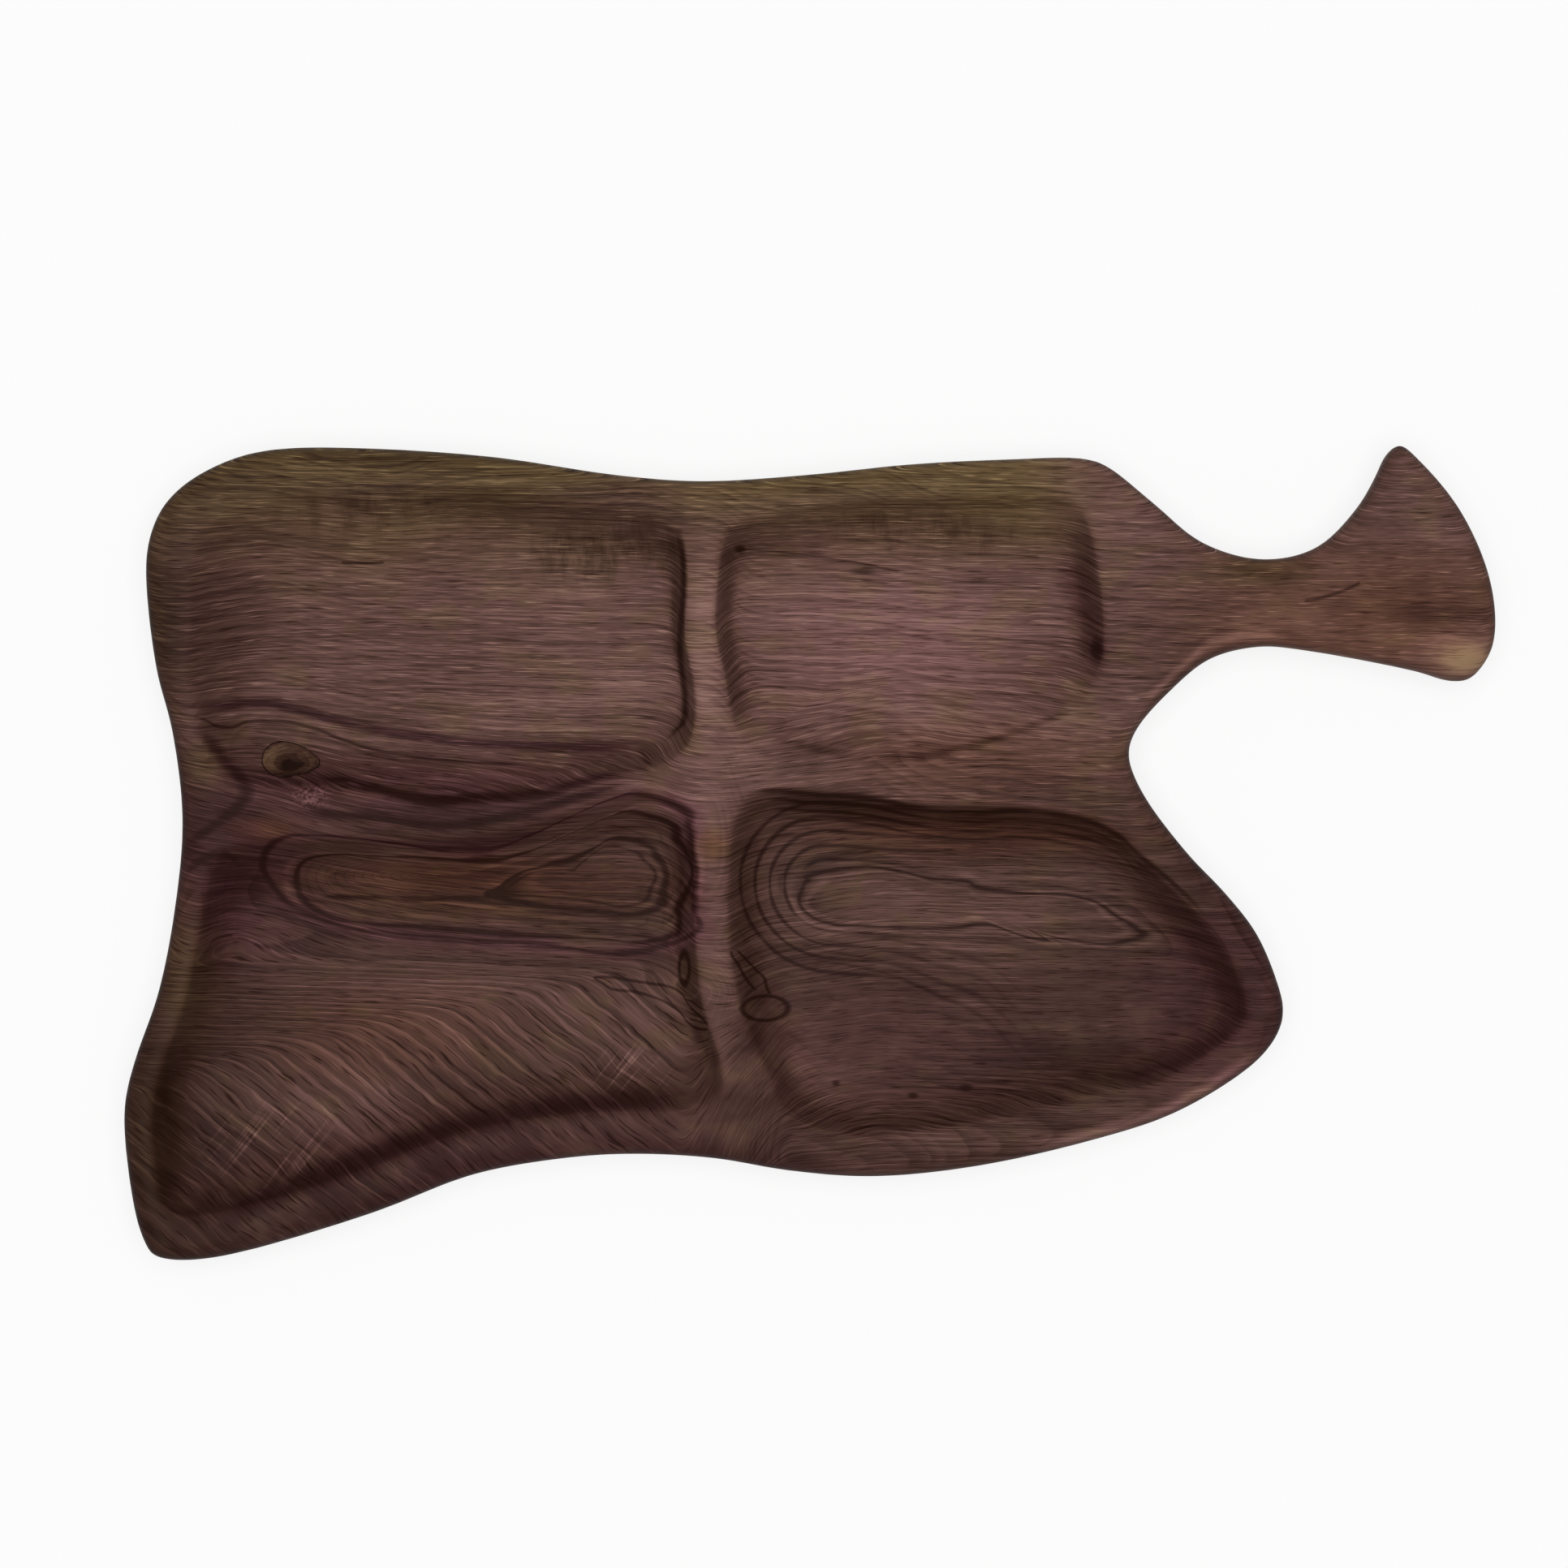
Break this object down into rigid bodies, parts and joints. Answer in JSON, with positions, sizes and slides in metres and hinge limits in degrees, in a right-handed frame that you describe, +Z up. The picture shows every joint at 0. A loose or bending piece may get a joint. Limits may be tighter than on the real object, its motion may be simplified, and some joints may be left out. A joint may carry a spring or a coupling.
{
  "type": "appetizer dish",
  "caption": "Carved walnut appetizer dish with a wavy rim, wells parted by low dividers, a flared paddle handle and an encased eye knot",
  "frame": {"origin": "on the flat base, under the crossing of the two dividers", "axes": "+X along the grain towards the handle, +Y across the grain towards the two upper wells, +Z up out of the wells"},
  "size_m": [0.4501, 0.2676, 0.026],
  "materials": {
    "walnut": "oiled, satin, hand sanded",
    "knot_wood": "oiled, satin, dark bark seam"
  },
  "bodies": {
    "root": {"carved_board": "walnut", "eye_knot": "knot_wood"}
  },
  "joints": []
}
